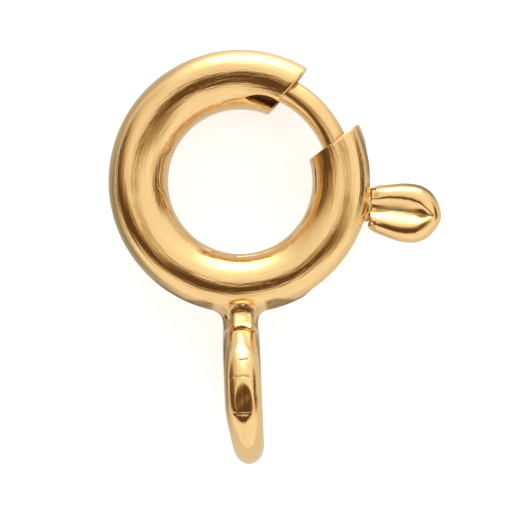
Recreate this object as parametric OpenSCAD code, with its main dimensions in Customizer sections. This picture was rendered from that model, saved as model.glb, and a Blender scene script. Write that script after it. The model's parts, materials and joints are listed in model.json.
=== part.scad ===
// Spring ring clasp: a hollow ring with a gap that a sprung tongue closes, a bean-shaped trigger that
// draws the tongue back, and a closed end loop soldered on at a right angle to the ring.
// Angles are seen from the front of the ring, counterclockwise from +X. The clasp lies on its back.

/* [Ring] */
// Diameter across the outside of the ring
ring_outer_d = 6.0; // [5.6:0.1:7.5]
// Diameter of the hole in the ring
ring_hole_d = 3.3; // [2.9:0.05:3.6]
// Straight part between the round halves of the tube's section, along the ring's axis
ring_land = 0.22; // [0.12:0.01:0.5]
// Wall of the rolled tube
tube_wall = 0.2; // [0.15:0.01:0.22]

/* [Gap] */
// Direction of the middle of the gap
gap_angle = 42.5; // [40:0.5:45]
// Width of the gap at the middle of the tube
gap_w = 1.58; // [1.2:0.01:1.75]
// Angle of each cut to the direction of the gap
gap_flare = 6.5; // [3:0.5:9]

/* [Slot] */
// Width of the slot that the trigger runs in
slot_w = 0.75; // [0.6:0.01:0.85]
// Height of the slot's pointed arch
slot_arch = 0.42; // [0.38:0.01:0.46]
// Angle from the trigger's stem to the point of the arch
slot_head = 31.5; // [24:0.5:33]

/* [Seam] */
// Place of the tube's seam on its section, from the hole towards the front
seam_angle = 38; // [30:1:45]
// Width of the closed seam
seam_w = 0.03; // [0.02:0.005:0.05]
// Depth of the closed seam
seam_depth = 0.05; // [0.03:0.005:0.08]
// Length over which the seam gapes at the upper end of the tube
mouth_len = 0.98; // [0.6:0.02:1.1]
// Width of the gaping seam
mouth_w = 0.3; // [0.2:0.01:0.36]
// How much of the gaping seam the saw cut took away
mouth_lost = 0.22; // [0.1:0.01:0.3]

/* [Tongue] */
// Diameter of the tongue's wire
tongue_d = 0.6; // [0.5:0.01:0.68]
// How far the closed tongue reaches into the upper end of the tube
tip_reach = 0.2; // [0.1:0.01:0.5]
// Rounding of the tongue's tip
tip_round = 0.12; // [0.06:0.01:0.16]
// How much lower than the wire the turned tip lies, all round
tip_shoulder = 0.01; // [0.005:0.005:0.02]
// Length of the tongue behind the trigger's stem
tail_len = 1.34; // [1.0:0.02:1.5]

/* [Trigger] */
// Place of the trigger at rest
trigger_angle = -11.5; // [-14:0.5:-8]
// Turn of the trigger's blade away from the ring's centre line
trigger_cant = 4; // [0:0.5:6]
// Angle through which the trigger is drawn back
travel = 43; // [36:1:46]
// Length of the blade
blade_len = 1.6; // [1.3:0.02:2.2]
// Greatest width of the blade
blade_w = 1.36; // [1.1:0.02:1.7]
// Greatest thickness of the blade
blade_t = 0.72; // [0.6:0.01:0.9]
// Distance between the crests of the blade's two lobes
crest_w = 0.68; // [0.5:0.02:0.76]
// Depth of the groove between the lobes, on each face
groove_depth = 0.18; // [0.06:0.01:0.2]
// Length of the stem along the slot
stem_len = 0.66; // [0.58:0.01:0.75]
// Diameter of the peg's hole in the tongue
peg_d = 0.3; // [0.2:0.01:0.34]
// Depth of the peg's hole
peg_depth = 0.42; // [0.3:0.01:0.46]

/* [Spring] */
// Outer diameter of the coil
coil_d = 0.7; // [0.55:0.01:0.78]
// Diameter of the spring wire
coil_wire_d = 0.13; // [0.1:0.01:0.16]
// Turns of the coil
coil_turns = 22; // [16:1:26]
// Place of the stop that the coil bears on
stop_angle = 160; // [150:1:175]
// Length of the stop along the tube
stop_len = 0.2; // [0.15:0.01:0.4]

/* [End loop] */
// Diameter of the hole in the end loop
loop_hole_d = 1.94; // [1.6:0.02:2.4]
// Radial thickness of the end loop
loop_band = 0.68; // [0.5:0.01:0.8]
// Width of the end loop's section, which is domed outside and flat at the hole
loop_w = 0.84; // [0.7:0.01:1.0]
// Lean of the end loop to the right
loop_lean = 2.4; // [0:0.2:3]

/* [Solder collar] */
// Distance between the ring and the end loop
collar_len = 0.15; // [0.1:0.01:0.3]
// Width of the collar at the loop, seen from the front
collar_w = 0.82; // [0.7:0.02:0.9]
// How far the collar flares out towards the ring on each side
collar_flare = 0.22; // [0.1:0.01:0.3]
// Width of the collar along the ring's axis
collar_depth = 1.2; // [1.0:0.02:1.3]

/* [Clearances] */
// Gap on each side of the stem in the slot
stem_gap = 0.09; // [0.05:0.01:0.12]
// Gap between the stem and the slot's end when the trigger is drawn back
stop_gap = 0.03; // [0.01:0.01:0.06]
// Gap between the blade and the ring
blade_gap = 0.06; // [0.05:0.01:0.1]
// Gap round the peg in the tongue, and under the stem
peg_gap = 0.02; // [0.01:0.005:0.03]
// Gap at each end of the coil
coil_gap = 0.02; // [0.01:0.005:0.04]

/* [Hidden] */
$fn = 96;

ring_r = ring_outer_d / 2;
hole_r = ring_hole_d / 2;
tube_w = ring_r - hole_r;
mid_r = (ring_r + hole_r) / 2;
ring_depth = tube_w + ring_land;
bore_w = tube_w - 2 * tube_wall;

loop_r = loop_hole_d / 2 + loop_band;
loop_corner_r = loop_band - loop_w / 2;
loop_drop = ring_r + collar_len + loop_r;

// Angle that a length takes up along the middle of the tube
function arc(len) = len / mid_r * 180 / PI;

gap_half = asin(gap_w / 2 / mid_r);
tip_angle = gap_angle + gap_half + arc(tip_reach);
tail_angle = trigger_angle - arc(tail_len);
stem_t = slot_w - 2 * stem_gap;
slot_top = trigger_angle + slot_head;
slot_end = trigger_angle - travel - (stem_len / 2 + stop_gap) / ring_r * 180 / PI;

// The clasp rests on the back of the ring, at its far side, and on the end loop, which is the
// deeper of the two. Both touch the floor where loop_r = tube_w / 2 + ring_land / 2 * cos(tilt)
// + (mid_r + loop_y) * sin(tilt), with loop_y the loop's distance from the ring's centre.
loop_y = ring_r + (loop_drop - ring_r) * cos(loop_lean);
rest_arm = norm([mid_r + loop_y, ring_land / 2]);
rest_tilt = asin((loop_r - tube_w / 2) / rest_arm) - atan(ring_land / 2 / (mid_r + loop_y));
rest_h = tube_w / 2 + ring_land / 2 * cos(rest_tilt) + mid_r * sin(rest_tilt);

// The origin is under the middle of the outline, on the floor
blade_base_r = ring_r + blade_gap;
middle_x = (blade_base_r + blade_len - ring_r) / 2;
middle_y = -(loop_y + loop_r - ring_r) / 2 * cos(rest_tilt);

module at_rest() {
  translate([-middle_x, -middle_y, rest_h]) rotate([-rest_tilt, 0, 0]) children();
}

// A rounded bar: two circles joined by a straight part
module stadium(w, land) {
  for (side = [-1, 1]) translate([0, side * land / 2]) circle(d = w);
  square([w, land], center = true);
}

// Turns a flat shape so that it faces outwards from the ring at an angle: x runs along the ring
module facing_out(angle, from_r, depth) {
  rotate([0, 0, angle]) translate([from_r, 0, 0]) rotate([90, 0, 90])
    linear_extrude(depth) children();
}

// The shape between the two saw cuts
module gap_cut() {
  function half_w(r) = gap_w / 2 + (r - mid_r) * tan(gap_flare);
  in_r = hole_r - tube_w / 2;
  out_r = ring_r + tube_w / 2;
  rotate([0, 0, gap_angle]) linear_extrude(2 * ring_depth, center = true)
    polygon([[in_r, -half_w(in_r)], [out_r, -half_w(out_r)],
             [out_r, half_w(out_r)], [in_r, half_w(in_r)]]);
}

// The slot through the outer wall, with a pointed arch at its head and a round end
module slot_cut() {
  function out_arc(len) = len / ring_r * 180 / PI;
  round_at = slot_end + out_arc(slot_w / 2);
  arch_at = slot_top - out_arc(slot_arch);
  arch_r = (pow(slot_w / 2, 2) + pow(slot_arch, 2)) / slot_w;
  rotate([0, 0, round_at]) rotate_extrude(angle = arch_at - round_at)
    translate([mid_r, -slot_w / 2]) square([tube_w, slot_w]);
  facing_out(round_at, mid_r, tube_w) circle(d = slot_w);
  facing_out(arch_at, mid_r, tube_w) intersection() {
    translate([0, slot_w / 2 - arch_r]) circle(r = arch_r);
    translate([0, arch_r - slot_w / 2]) circle(r = arch_r);
  }
}

// The closed seam all round, and the boat-shaped place where it gapes beside the gap
module seam_cut() {
  rotate_extrude() translate([mid_r, ring_land / 2]) rotate(180 - seam_angle)
    translate([tube_w / 2 - seam_depth, -seam_w / 2]) square([2 * seam_depth, seam_w]);
  lens_r = (pow(mouth_w, 2) + pow(mouth_len, 2)) / 4 / mouth_w;
  mouth_at = gap_angle + gap_half + (mouth_len / 2 - mouth_lost) / hole_r * 180 / PI;
  rotate([0, 0, mouth_at]) translate([mid_r, 0, ring_land / 2]) rotate([0, seam_angle - 90, 0])
    linear_extrude(tube_w) intersection() {
      translate([lens_r - mouth_w / 2, 0]) circle(r = lens_r);
      translate([mouth_w / 2 - lens_r, 0]) circle(r = lens_r);
    }
}

// The hollow of the tube, all round but for the stop
module tube_hollow() {
  stop_arc = arc(stop_len);
  rotate([0, 0, stop_angle + stop_arc]) rotate_extrude(angle = 360 - stop_arc)
    translate([mid_r, 0]) stadium(bore_w, ring_land);
}

// The side of the collar: straight at the loop, with a hollow flare up to the ring
module collar_side() {
  foot_y = ring_r - tube_wall;
  low_y = ring_r + collar_len + loop_band / 4;
  flare_h = low_y - ring_r;
  flare_r = (pow(collar_flare, 2) + pow(flare_h, 2)) / 2 / collar_flare;
  difference() {
    translate([0, -low_y - loop_band / 4])
      square([collar_w / 2 + collar_flare, low_y + loop_band / 4 - foot_y]);
    translate([collar_w / 2 + flare_r, -low_y]) circle(r = flare_r);
    translate([collar_w / 2, -low_y - loop_band]) square([flare_r, loop_band]);
  }
}

module collar() {
  straight = collar_depth - collar_w;
  for (side = [-1, 1]) {
    translate([0, 0, side * straight / 2]) rotate([-90, 0, 0]) rotate_extrude() collar_side();
    linear_extrude(straight, center = true) mirror([side < 0 ? 1 : 0, 0]) collar_side();
  }
}

// The loop's section: a half disc outside, and two rounded corners at the hole
module loop_section() {
  corner_x = loop_w / 2 - loop_corner_r;
  intersection() {
    circle(d = loop_w);
    translate([0, -loop_w / 2]) square([loop_w / 2, loop_w]);
  }
  for (side = [-1, 1]) translate([0, side * corner_x]) circle(r = loop_corner_r);
  translate([-loop_corner_r, -corner_x]) square([loop_corner_r, 2 * corner_x]);
}

module end_loop() {
  translate([0, -loop_drop, 0]) rotate([0, 90, 0]) rotate_extrude()
    translate([loop_hole_d / 2 + loop_corner_r, 0]) loop_section();
}

module ring_body() {
  color("gold") at_rest() difference() {
    union() {
      rotate_extrude() translate([mid_r, 0]) stadium(tube_w, ring_land);
      translate([0, -ring_r, 0]) rotate([0, 0, loop_lean]) translate([0, ring_r, 0]) {
        collar();
        end_loop();
      }
    }
    tube_hollow();
    gap_cut();
    slot_cut();
    seam_cut();
  }
}

module tongue() {
  tip_from = tip_angle - arc(tip_round);
  tip_r = tongue_d / 2 - tip_shoulder;
  color("goldenrod") at_rest() difference() {
    union() {
      rotate([0, 0, tail_angle]) rotate_extrude(angle = tip_from - tail_angle)
        translate([mid_r, 0]) circle(d = tongue_d);
      rotate([0, 0, tip_from]) translate([mid_r, 0, 0]) rotate([-90, 0, 0]) rotate_extrude() {
        translate([0, -tip_round]) square([tip_r - tip_round, 2 * tip_round]);
        translate([tip_r - tip_round, 0]) circle(r = tip_round);
      }
    }
    rotate([0, 0, trigger_angle]) translate([mid_r + tongue_d / 2 - peg_depth, 0, 0])
      rotate([0, 90, 0]) cylinder(d = peg_d, h = peg_depth * 2);
  }
}

// A closed solid through a list of loops of points, each counterclockwise seen from the next one
module skin(loops) {
  count = len(loops[0]);
  last = len(loops) - 1;
  faces = [
    for (i = [0:last - 1], j = [0:count - 1])
      let (a = i * count, b = a + count, k = (j + 1) % count)
      each [[a + j, b + j, a + k], [b + j, b + k, a + k]],
    [for (j = [0:count - 1]) j],
    [for (j = [count - 1:-1:0]) last * count + j]];
  polyhedron([for (loop = loops) each loop], faces);
}

// The blade's relief across its width, which is that of a coffee bean: the place, from the bottom of
// the groove, 0, over the crest of a lobe, 1, to the edge, 2; the height as a share of half the
// thickness; and the depth of the groove there as a share of its greatest depth.
RELIEF = [[0, 1, 1], [0.2, 1, 0.78], [0.4, 1, 0.55], [0.6, 1, 0.32], [0.8, 1, 0.12], [1, 1, 0],
          [1.25, 0.97, 0], [1.5, 0.87, 0], [1.75, 0.66, 0], [1.92, 0.39, 0], [2, 0, 0]];

// Shares of the width, the crests' distance, the thickness and the groove along the blade, from its
// neck, 0, to its tip, 1
WIDEST = 0.56;
function swell(s) =
  s < WIDEST ? 0.58 + 0.42 * sin(90 * s / WIDEST) : sqrt(1 - pow((s - WIDEST) / (1 - WIDEST), 2.3));
function crest_swell(s) = 0.09 + 0.91 * pow(max(0, 1 - pow((s - 0.42) / 0.46, 2)), 0.62);
function thickness(s) =
  s < 0.2 ? 0.8 + 0.2 * sin(90 * s / 0.2) : s < 0.8 ? 1 : sqrt(1 - pow((s - 0.8) / 0.21, 2));
function grooved(s) = s < 0.14 ? max(0, s - 0.04) / 0.1 : s > 0.86 ? max(0, (0.94 - s) / 0.08) : 1;

// The blade lies along +X with its neck at the origin. Its last loop stops just short of the tip.
function blade_loops() =
  let (stations = 24, last_s = 0.995, crest_most = 0.7, rows = len(RELIEF),
       top = [for (i = [rows - 1:-1:1]) RELIEF[i], RELIEF[0],
              for (i = [1:rows - 1]) [-RELIEF[i][0], RELIEF[i][1], RELIEF[i][2]]])
  [for (i = [0:stations])
    let (s = (1 - cos(180 * i / stations)) / 2 * last_s,
         edge = swell(s) * blade_w / 2,
         crest = min(crest_swell(s) * crest_w / 2, edge * crest_most))
    [for (j = [0:2 * len(top) - 3])
      let (row = j < len(top) ? top[j] : top[2 * len(top) - 2 - j], p = abs(row[0]),
           side = j < len(top) ? 1 : -1,
           smooth = sqrt(1 - pow(p / 2, 2)),
           relief = row[1] - row[2] * groove_depth * 2 / blade_t,
           height = smooth + (relief - smooth) * grooved(s))
      [s * blade_len, sign(row[0]) * (p <= 1 ? p * crest : crest + (p - 1) * (edge - crest)),
       side * height * thickness(s) * blade_t / 2]]];

module trigger() {
  seat_r = mid_r + tongue_d / 2 + peg_gap;
  color("darkgoldenrod") at_rest() rotate([0, 0, trigger_angle]) {
    translate([blade_base_r, 0, 0]) rotate([0, 0, trigger_cant]) skin(blade_loops());
    facing_out(0, seat_r, blade_base_r - seat_r + blade_len / 20) rotate(90)
      stadium(stem_t, stem_len - stem_t);
    translate([mid_r + tongue_d / 2 - peg_depth + peg_gap, 0, 0]) rotate([0, 90, 0])
      cylinder(d = peg_d - 2 * peg_gap, h = peg_depth + peg_gap);
  }
}

// The coil as one swept wire with five sides, along an arc through the middle of the tube
module spring() {
  sides = 5;
  steps = 11 * coil_turns;
  end_room = arc(coil_wire_d / 2 + coil_gap);
  from = tail_angle - end_room;
  to = stop_angle + arc(stop_len) - 360 + end_room;
  coil_r = (coil_d - coil_wire_d) / 2;
  function out(a) = [cos(a), sin(a), 0];
  function along(a) = [-sin(a), cos(a), 0];
  function side_of(a, turn) = cos(turn) * out(a) + sin(turn) * [0, 0, 1];
  color("silver") at_rest() skin([for (i = [0:steps])
    let (a = from + (to - from) * i / steps, n = side_of(a, 360 * coil_turns * i / steps))
    [for (k = [0:sides - 1])
      mid_r * out(a) + coil_r * n
      + coil_wire_d / 2 * (cos(360 * k / sides) * n + sin(360 * k / sides) * along(a))]]);
}

ring_body();
tongue();
trigger();
spring();
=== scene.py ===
# %% [markdown]
# # A spring ring clasp
#
# A spring ring closes a fine chain. Its ring is a tube, rolled from thin gold sheet, with a gap. A bent
# wire, the tongue, slides out of the tube and closes the gap, pushed by a hidden coil spring. A small
# bean, the trigger, draws it back. Everything here is small and polished, so the lesson is about clean
# curved surfaces, soft edges and the room that the gold mirrors.
#
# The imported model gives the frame: every piece below is made in that frame, in metres.

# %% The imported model
import json
import math

import bmesh
import bpy
import numpy as np
from mathutils import Matrix, Vector
from mathutils.geometry import delaunay_2d_cdt
from mathutils.kdtree import KDTree


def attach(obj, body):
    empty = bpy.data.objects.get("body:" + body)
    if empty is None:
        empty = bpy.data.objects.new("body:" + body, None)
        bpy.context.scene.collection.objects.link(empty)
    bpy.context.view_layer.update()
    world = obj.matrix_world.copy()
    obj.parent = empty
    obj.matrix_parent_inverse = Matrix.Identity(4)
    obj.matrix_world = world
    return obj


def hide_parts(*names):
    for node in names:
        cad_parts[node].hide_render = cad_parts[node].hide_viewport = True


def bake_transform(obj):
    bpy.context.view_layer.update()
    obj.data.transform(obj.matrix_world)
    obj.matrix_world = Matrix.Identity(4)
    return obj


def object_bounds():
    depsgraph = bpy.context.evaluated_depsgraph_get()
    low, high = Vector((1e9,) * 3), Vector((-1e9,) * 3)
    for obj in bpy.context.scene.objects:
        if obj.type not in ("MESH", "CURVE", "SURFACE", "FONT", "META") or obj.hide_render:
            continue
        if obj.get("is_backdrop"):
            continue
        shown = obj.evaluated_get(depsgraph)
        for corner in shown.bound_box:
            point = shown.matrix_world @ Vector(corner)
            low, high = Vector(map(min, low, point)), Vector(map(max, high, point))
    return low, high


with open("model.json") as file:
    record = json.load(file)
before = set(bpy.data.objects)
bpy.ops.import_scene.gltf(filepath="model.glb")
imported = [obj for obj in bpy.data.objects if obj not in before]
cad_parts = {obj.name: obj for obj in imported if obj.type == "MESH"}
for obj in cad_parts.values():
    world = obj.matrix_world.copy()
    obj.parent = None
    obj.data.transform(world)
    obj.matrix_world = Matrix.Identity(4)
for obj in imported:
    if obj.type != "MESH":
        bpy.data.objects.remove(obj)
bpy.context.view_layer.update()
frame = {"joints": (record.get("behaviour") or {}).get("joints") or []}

# %% [markdown]
# ## The ring's own coordinates
#
# The clasp lies on its back, tilted by the height of its end loop. It is easier to build it as a
# jeweller sees it: x to the trigger, y away from the end loop and z out of the ring's face, in
# millimetres from the ring's centre. The trigger turns about that centre, so the joint in the record
# already holds the centre and the tilt, and nothing has to be typed twice.

# %% From the ring's coordinates to the frame
MM = 0.001
slide = frame["joints"][0]
ring_centre = np.array(slide["pos_m"])
face_out = -np.array(slide["axis"]) / np.linalg.norm(slide["axis"])
ring_right = np.array([1.0, 0.0, 0.0])
ring_up = np.cross(face_out, ring_right)
ring_turn = np.column_stack([ring_right, ring_up, face_out])
ring_matrix = Matrix(ring_turn.tolist())


def in_frame(points):
    """Points in the ring's coordinates, in millimetres, as points of the frame, in metres."""
    return np.asarray(points, float) @ ring_turn.T * MM + ring_centre


print("the ring's centre is", (ring_centre / MM).round(3), "mm, its face looks along", face_out.round(3))

# %% [markdown]
# ## The camera
#
# The photograph looks straight at the ring's face through a long lens, so the near end loop is hardly
# larger than the ring behind it. The camera stands over the clasp on the line that leaves the face.

# %% The camera over the ring's face
view_middle = in_frame([[0.36, -1.7, 0.4]])[0]
view_height = 11.6 * MM
lens_data = bpy.data.cameras.new("long_lens")
lens_data.lens = 160
lens_data.sensor_width = 36
lens_data.clip_start = 0.001
camera = bpy.data.objects.new("camera", lens_data)
bpy.context.scene.collection.objects.link(camera)
camera_way = view_height * lens_data.lens / lens_data.sensor_width
camera_place = Matrix.Translation(view_middle + face_out * camera_way)
camera.matrix_world = camera_place @ ring_matrix.to_4x4()
bpy.context.scene.camera = camera
print("the camera stands", round(camera_way * 1000), "mm from the clasp")

# %% [markdown]
# ## Making a piece from points and faces
#
# The surfaces below follow rules, so their points are computed with NumPy and handed to a mesh. One
# helper joins doubled points, shades the mesh smooth and keeps a number for each point that says how
# much polish residue, tarnish and painted shade lies there. The gold reads that number later. Other
# helpers make the faces between lines of points that are stacked like hoops, and a soft step from 0 to 1.

# %% Helpers for pieces
same_point = 1e-7  # points nearer than this, in metres, become one


def shown(name, data):
    """A new object in the scene."""
    made = bpy.data.objects.new(name, data)
    bpy.context.scene.collection.objects.link(made)
    return made


def new_piece(name, points, faces, grime):
    mesh = bpy.data.meshes.new(name)
    mesh.from_pydata(in_frame(points).tolist(), [], faces)
    film_and_shade = mesh.attributes.new("grime", "FLOAT", "POINT")
    film_and_shade.data.foreach_set("value", np.asarray(grime, float))
    work = bmesh.new()
    work.from_mesh(mesh)
    bmesh.ops.remove_doubles(work, verts=work.verts, dist=same_point)
    bmesh.ops.dissolve_degenerate(work, edges=work.edges, dist=same_point)
    bmesh.ops.recalc_face_normals(work, faces=work.faces)
    open_edges = sum(1 for e in work.edges if not e.is_manifold)
    work.to_mesh(mesh)
    work.free()
    mesh.shade_smooth()
    print(f"{name}: {len(mesh.polygons)} faces, {open_edges} open edges")
    return shown(name, mesh)


def bands(rows, count, closed=True):
    """Faces between stacked lines of points. Each line has count points, and closes if that is asked."""
    return [
        (k * count + i, k * count + (i + 1) % count, (k + 1) * count + (i + 1) % count, (k + 1) * count + i)
        for k in range(rows - 1)
        for i in range(count if closed else count - 1)
    ]


def caps(rows, count):
    """One face over the first line of points and one over the last."""
    return [tuple(range(count)), tuple(range((rows - 1) * count, rows * count))]


def smooth_step(x):
    """0 up to 0, 1 from 1 on, and a soft slope between them."""
    x = np.clip(x, 0, 1)
    return x * x * (3 - 2 * x)


# %% [markdown]
# ## The tube of the ring
#
# A jeweller rolls a strip of sheet into a tube, bends the tube round and saws the gap. The same order
# works here. A point of the tube has three numbers: c along the tube, s around its section, and the
# depth below the outside. The section is round but for a short straight part on each side. Bending a
# tube round squeezes its inner side, so the crest of the section leans outwards, here the more the
# nearer it is to the top of the ring. The bands that the gold mirrors follow that crest.

# %% The section of the tube
tube_mid_r = 2.325  # from the ring's axis to the middle of the tube
tube_r = 0.675
tube_land = 0.22  # height of the straight part on the outer and on the inner side
tube_wall = 0.2
tube_lean = 0.09  # how far the crest leans outwards beside the trigger
lean_growth = 0.07  # how much more it leans at the top, and how much less at the bottom
girth = 2 * math.pi * tube_r + 2 * tube_land


def crest_lean(angle):
    """How far the crest of the section leans outwards, at an angle counterclockwise from +x."""
    return tube_lean + lean_growth * np.sin(angle)


def section(s, depth, lean):
    """Distance from the ring's axis, and height, of a point of the section. s = 0 faces outwards."""
    bent = np.abs(s) - tube_land / 2
    angle = np.clip(bent / tube_r, 0, math.pi)
    r = tube_mid_r + (tube_r - depth) * np.cos(angle) + lean * np.sin(angle) ** 2
    past = np.maximum(bent - math.pi * tube_r, 0)
    z = np.minimum(np.abs(s), tube_land / 2) + (tube_r - depth) * np.sin(angle) - past
    return r, np.sign(s) * z


print("the tube is", round(girth, 2), "mm round")

# %% [markdown]
# The two saw cuts are flat and lean away from each other, so the gap is wider outside. Near a cut, the
# lines across the tube are sheared until the last one lies in the cut. Points at any depth then end in
# the same plane, as they do behind a saw.

# %% The saw cuts, and a point anywhere on the tube
gap_at = math.radians(42.5)  # the middle of the gap, counterclockwise from +x
gap_w = 1.58
gap_flare = math.radians(6.5)  # how far each cut leans away from the other
shear_reach = 1.2  # how far from a cut the lines across the tube are sheared
cut_offset = gap_w / 2 * math.cos(gap_flare) - tube_mid_r * math.sin(gap_flare)


def half_gap(r):
    """Angle from the middle of the gap to its cut at a distance from the ring's axis."""
    return gap_flare + np.arcsin(cut_offset / r)


middle_half_gap = float(half_gap(tube_mid_r))
tube_len = tube_mid_r * (2 * math.pi - 2 * middle_half_gap)


def shear(c, r):
    """The turn that brings the end of a line into its cut, at a distance from the ring's axis."""
    near_cuts = smooth_step(1 - c / shear_reach) - smooth_step(1 - (tube_len - c) / shear_reach)
    return (half_gap(r) - middle_half_gap) * near_cuts


def on_tube(c, s, depth):
    angle = gap_at + middle_half_gap + c / tube_mid_r
    r, z = section(s, depth, crest_lean(angle))
    angle = angle + shear(c, r)
    return np.stack([r * np.cos(angle), r * np.sin(angle), z], -1)


def along_tube(angle, r):
    """The c of a point at an angle counterclockwise from +x and a distance from the ring's axis."""
    straight = (angle - gap_at - middle_half_gap) * tube_mid_r
    c = straight
    for _ in range(30):  # each round takes the last c for the shear, until both agree
        c = straight - shear(c, r) * tube_mid_r
    return c


print("the tube is", round(tube_len, 2), "mm long from cut to cut")

# %% [markdown]
# The sheet's two edges meet in a seam on the inner side of the tube. It is closed nearly all round, as
# a fine groove that drifts towards the face and goes back in a kink, and it gapes like a small boat
# beside the upper cut. The saw took one end of that boat.

# %% The seam and its mouth
seam_turn = math.radians(38)  # from the innermost line of the tube towards its face
seam_s = tube_land / 2 + tube_r * (math.pi - seam_turn)
near_mouth = gap_at + 0.6
seam_r = float(section(seam_s, 0, crest_lean(near_mouth))[0])
mouth_len, mouth_w = 0.98, 0.3
mouth_lost = 0.22  # the length that the saw took
mouth_bow = (mouth_w**2 + mouth_len**2) / 4 / mouth_w  # radius of the mouth's two arcs
mouth_at = gap_at + math.asin(gap_w / 2 / tube_mid_r) + (mouth_len / 2 - mouth_lost) / (tube_mid_r - tube_r)
seam_drift, drift_over = 0.17, 1.2
kink, kink_from, kink_to, kink_over = 0.19, 3.7, 5.3, 0.5


def seam_line(c):
    """The s of the seam, a place around the section, at a place along the tube."""
    drifted = seam_drift * smooth_step((c - mouth_tip_c) / drift_over)
    kinked = -kink * smooth_step((c - kink_from) / kink_over) * smooth_step((kink_to - c) / kink_over)
    return seam_s + drifted + kinked + 0.008 * np.sin(3.1 * c + 0.5) + 0.006 * np.sin(7.3 * c)


def mouth_edge(grow, count):
    """Points from the cut to the mouth's tip on one side: c, and the distance from the seam."""
    bow = mouth_bow + grow
    tip = math.sqrt(bow**2 - (mouth_bow - mouth_w / 2) ** 2)
    cs = np.linspace(0, 1.5, 400)
    lengths = (gap_at + middle_half_gap + cs / tube_mid_r + shear(cs, seam_r) - mouth_at) * seam_r
    start = np.interp(grow, cs, lengths)
    crowded = (1 - np.linspace(0, 1, count)) ** 1.3  # the points stand closer towards the tip
    way = tip - (tip - start) * crowded
    wide = np.sqrt(np.maximum(bow**2 - way**2, 0)) - (mouth_bow - mouth_w / 2)
    return np.interp(way, lengths, cs), np.maximum(wide, 0)


mouth_tip_c = float(mouth_edge(0, 3)[0][-1])
print("the mouth of the seam ends", round(mouth_tip_c, 2), "mm from the cut")

# %% [markdown]
# Each edge of the sheet is slightly rounded by the polishing. So every rim is a stack of lines: the
# first lies on the outside, a little way back from the edge, the next ones turn over the edge, and the
# last lies on the inside. The helpers give such a line for any way back and any depth.

# %% The rims of the two cuts
across = np.linspace(-girth / 2, girth / 2, 131)
mouth_count, below_count, above_count = 40, 120, 26


def lower_rim(back, depth):
    return np.full_like(across, tube_len - back), across, np.full_like(across, depth)


def upper_rim(back, depth):
    """Across the tube along the cut, with a way in and out of the seam's mouth."""
    mouth_c, wide = mouth_edge(back, mouth_count)
    below = np.linspace(-girth / 2, seam_s - wide[0], below_count)[:-1]
    above = np.linspace(seam_s + wide[0], girth / 2, above_count)[1:]
    c = np.concatenate([np.full_like(below, back), mouth_c, mouth_c[-2::-1], np.full_like(above, back)])
    s = np.concatenate([below, seam_s - wide, (seam_s + wide)[-2::-1], above])
    return c, s, np.full_like(s, depth)


print("the upper rim has", len(upper_rim(0, 0)[0]), "points, the lower one", len(across))

# %% [markdown]
# The slot that the trigger runs in is cut from outside, straight towards the ring's axis. Its head is a
# pointed arch, and its foot is round. It starts above the trigger's stem and is long enough for the
# stem's whole travel.

# %% The rim of the slot
slot_w = 0.75
slot_arch = 0.42  # height of the pointed arch
slot_r = 3.0  # the lengths of the slot are measured at this distance from the ring's axis
stem_at = math.radians(-11.5)
travel = math.radians(43)
stem_len, stem_room = 0.66, 0.03
slot_top = stem_at + math.radians(31.5)
slot_end = stem_at - travel - (stem_len / 2 + stem_room) / slot_r
arch_from = slot_top - slot_arch / slot_r
round_from = slot_end + slot_w / 2 / slot_r
arch_r = ((slot_w / 2) ** 2 + slot_arch**2) / slot_w
arch_count, side_count, foot_count = 22, 60, 33


def slot_rim(back, depth):
    """Up one side of the slot, over its arch, down the other side and round its foot."""
    half, bow = slot_w / 2 + back, arch_r + back
    turn = math.acos((arch_r - slot_w / 2) / bow) * np.linspace(0, 1, arch_count)
    arch_x, arch_z = bow * np.sin(turn), slot_w / 2 - arch_r + bow * np.cos(turn)
    arch_x, arch_z = np.append(arch_x[1:], arch_x[-2:0:-1]), np.append(arch_z[1:], -arch_z[-2:0:-1])
    side = np.linspace(round_from, arch_from, side_count)
    foot = np.linspace(0, math.pi, foot_count)[1:-1]
    angle = [side, np.full_like(arch_x, arch_from), side[::-1], np.full_like(foot, round_from)]
    angle = np.concatenate(angle)
    x = np.concatenate([0 * side, arch_x, 0 * side, -half * np.sin(foot)])
    z = np.concatenate([0 * side + half, arch_z, 0 * side - half, -half * np.cos(foot)])
    bent = np.arcsin(np.maximum(np.abs(z) - tube_land / 2, 0) / (tube_r - depth))
    s = np.where(np.abs(z) < tube_land / 2, z, np.sign(z) * (tube_land / 2 + tube_r * bent))
    r = section(s, depth, crest_lean(angle))[0]
    c = along_tube(angle + 2 * math.pi + np.arcsin(x / r), r)
    return c, s, np.full_like(s, depth)


print("the slot runs from", round(math.degrees(slot_end)), "to", round(math.degrees(slot_top)), "degrees")

# %% [markdown]
# ## Skinning the tube
#
# The outside is a flat pattern, c by s, with a hole for the slot and a notch for the mouth. A Boolean
# would cut such holes too, but it leaves ragged triangles that a mirror shows. Blender's triangulation
# of constrained outlines fills the pattern exactly to its edges. Rows of points follow the seam
# closely, so that its groove can be pressed in. Then the pattern is bent round.

# %% A flat pattern with its holes, as triangles
clearance = 0.55  # grid points nearer to an outline than this share of a step are left out
follow, follow_over = 1.25, 0.36  # how fully the rows follow the seam, and how far off that fades


def inside_loop(c, s, loop):
    """Which points lie inside a closed outline of the pattern."""
    hit = np.zeros(len(c), bool)
    lc, ls = loop[:, 0], loop[:, 1]
    for i in range(len(lc)):
        a, b = i - 1, i
        spans = (ls[a] > s) != (ls[b] > s)
        with np.errstate(divide="ignore", invalid="ignore"):
            at = (lc[b] - lc[a]) * (s - ls[a]) / (ls[b] - ls[a]) + lc[a]
        hit ^= spans & (c < at)
    return hit


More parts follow.
